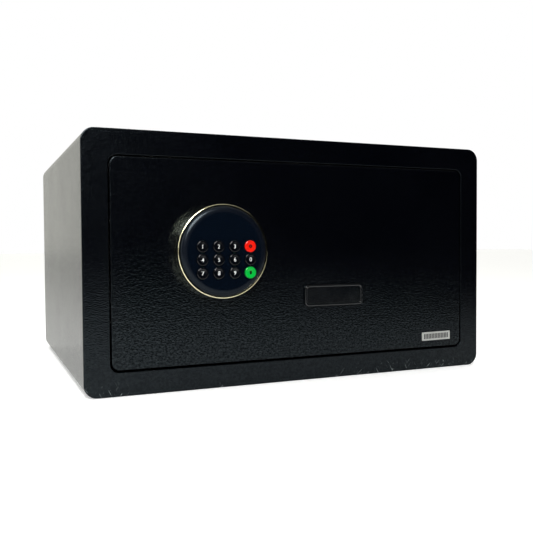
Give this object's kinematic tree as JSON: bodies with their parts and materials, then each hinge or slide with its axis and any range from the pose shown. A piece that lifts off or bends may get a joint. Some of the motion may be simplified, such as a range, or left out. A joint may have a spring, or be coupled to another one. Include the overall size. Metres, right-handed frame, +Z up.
{
  "type": "in room safe",
  "caption": "Steel in-room hotel safe with a flush hinged door, round electronic keypad, sliding bolts and a covered emergency key lock.",
  "frame": {"origin": "centre of the underside of the cabinet, on the surface it stands on", "axes": "+Z up, the door on the -Y side, +X to the right of someone who faces the door, along the cabinet's width"},
  "size_m": [0.45, 0.3846, 0.25],
  "materials": {
    "black_paint": "black powder coat with a fine wrinkle grain",
    "zinc_steel": "zinc-plated steel",
    "chrome": "polished chrome plate",
    "gold_ring": "polished pale gold plate",
    "brass": "machined brass",
    "gloss_black": "moulded gloss black",
    "key_black": "moulded gloss black with a printed white digit",
    "key_red": "moulded gloss red",
    "key_green": "moulded gloss green",
    "matte_black": "moulded matt black",
    "nylon": "natural nylon",
    "carpet": "needle-felt carpet",
    "circuit": "solder-masked board with parts",
    "cell": "printed steel jacket",
    "label": "plain silver film"
  },
  "bodies": {
    "cabinet": {"body_shell": "black_paint", "front_frame": "black_paint", "rear_panel": "black_paint", "floor_mat": "carpet", "keeper_angle": "zinc_steel", "hinge_bracket_upper": "zinc_steel", "hinge_bracket_lower": "zinc_steel"},
    "door": {"door_plate": "black_paint", "lock_case": "black_paint", "case_cover": "black_paint", "cover_screw_1": "zinc_steel", "cover_screw_2": "zinc_steel", "cover_screw_3": "zinc_steel", "cover_screw_4": "zinc_steel", "hinge_lug_upper": "zinc_steel", "hinge_lug_lower": "zinc_steel", "hinge_pin_upper": "chrome", "hinge_pin_lower": "chrome", "keypad_ring": "gold_ring", "keypad_housing": "matte_black", "keypad_face": "gloss_black", "keypad_board": "circuit", "display_module": "gloss_black", "keypad_screw_left": "zinc_steel", "keypad_screw_right": "zinc_steel", "door_label": "label", "lock_barrel": "chrome", "lock_nut": "zinc_steel", "bolt_guide_upper": "nylon", "bolt_guide_lower": "nylon", "gearbox": "matte_black", "motor": "zinc_steel", "circuit_board": "circuit", "battery_tray": "matte_black", "battery_1": "cell", "battery_2": "cell", "battery_3": "cell", "battery_4": "cell"},
    "bolt_carriage": {"bolt_bar": "zinc_steel", "bolt_rack": "zinc_steel", "bolt_upper": "chrome", "bolt_lower": "chrome"},
    "pinion": {"drive_gear": "brass"},
    "lock_rotor": {"lock_plug": "brass", "lock_cam": "zinc_steel"},
    "key_cover": {"key_cover": "gloss_black"},
    "battery_hatch": {"battery_hatch": "matte_black"},
    "reset_button": {"reset_button": "key_red"},
    "key_1": {"key_1": "key_black"},
    "key_2": {"key_2": "key_black"},
    "key_3": {"key_3": "key_black"},
    "key_4": {"key_4": "key_black"},
    "key_5": {"key_5": "key_black"},
    "key_6": {"key_6": "key_black"},
    "key_7": {"key_7": "key_black"},
    "key_8": {"key_8": "key_black"},
    "key_9": {"key_9": "key_black"},
    "key_0": {"key_0": "key_black"},
    "key_clear": {"key_clear": "key_red"},
    "key_enter": {"key_enter": "key_green"}
  },
  "joints": [
    {"name": "door_hinge", "type": "hinge", "parent": "cabinet", "child": "door", "pos_m": [0.184, -0.1745, 0.125], "axis": [0, 0, 1], "range_deg": [0, 100]},
    {"name": "bolt_slide", "type": "slide", "parent": "door", "child": "bolt_carriage", "axis": [-1, 0, 0], "range_m": [0, 0.016]},
    {"name": "pinion_turn", "type": "hinge", "parent": "door", "child": "pinion", "pos_m": [-0.13, -0.157, 0.11], "axis": [0, -1, 0], "range_deg": [0, 131.5]},
    {"name": "emergency_lock_turn", "type": "hinge", "parent": "door", "child": "lock_rotor", "pos_m": [0.0345, -0.1825, 0.088], "axis": [0, 1, 0], "range_deg": [0, 90]},
    {"name": "key_cover_pull", "type": "slide", "parent": "door", "child": "key_cover", "axis": [0, -1, 0], "range_m": [0, 0.012]},
    {"name": "battery_hatch_pull", "type": "slide", "parent": "door", "child": "battery_hatch", "axis": [0, 1, 0], "range_m": [0, 0.02]},
    {"name": "reset_button_press", "type": "slide", "parent": "door", "child": "reset_button", "axis": [0, -1, 0], "range_m": [0, 0.0015], "stiffness_N_per_m": 400},
    {"name": "key_1_press", "type": "slide", "parent": "door", "child": "key_1", "axis": [0, 1, 0], "range_m": [0, 0.001], "stiffness_N_per_m": 400},
    {"name": "key_2_press", "type": "slide", "parent": "door", "child": "key_2", "axis": [0, 1, 0], "range_m": [0, 0.001], "stiffness_N_per_m": 400},
    {"name": "key_3_press", "type": "slide", "parent": "door", "child": "key_3", "axis": [0, 1, 0], "range_m": [0, 0.001], "stiffness_N_per_m": 400},
    {"name": "key_4_press", "type": "slide", "parent": "door", "child": "key_4", "axis": [0, 1, 0], "range_m": [0, 0.001], "stiffness_N_per_m": 400},
    {"name": "key_5_press", "type": "slide", "parent": "door", "child": "key_5", "axis": [0, 1, 0], "range_m": [0, 0.001], "stiffness_N_per_m": 400},
    {"name": "key_6_press", "type": "slide", "parent": "door", "child": "key_6", "axis": [0, 1, 0], "range_m": [0, 0.001], "stiffness_N_per_m": 400},
    {"name": "key_7_press", "type": "slide", "parent": "door", "child": "key_7", "axis": [0, 1, 0], "range_m": [0, 0.001], "stiffness_N_per_m": 400},
    {"name": "key_8_press", "type": "slide", "parent": "door", "child": "key_8", "axis": [0, 1, 0], "range_m": [0, 0.001], "stiffness_N_per_m": 400},
    {"name": "key_9_press", "type": "slide", "parent": "door", "child": "key_9", "axis": [0, 1, 0], "range_m": [0, 0.001], "stiffness_N_per_m": 400},
    {"name": "key_0_press", "type": "slide", "parent": "door", "child": "key_0", "axis": [0, 1, 0], "range_m": [0, 0.001], "stiffness_N_per_m": 400},
    {"name": "key_clear_press", "type": "slide", "parent": "door", "child": "key_clear", "axis": [0, 1, 0], "range_m": [0, 0.001], "stiffness_N_per_m": 400},
    {"name": "key_enter_press", "type": "slide", "parent": "door", "child": "key_enter", "axis": [0, 1, 0], "range_m": [0, 0.001], "stiffness_N_per_m": 400}
  ],
  "couplings": [
    {"joint": "pinion_turn", "follows": "bolt_slide", "rad_per_m": 142.86}
  ]
}
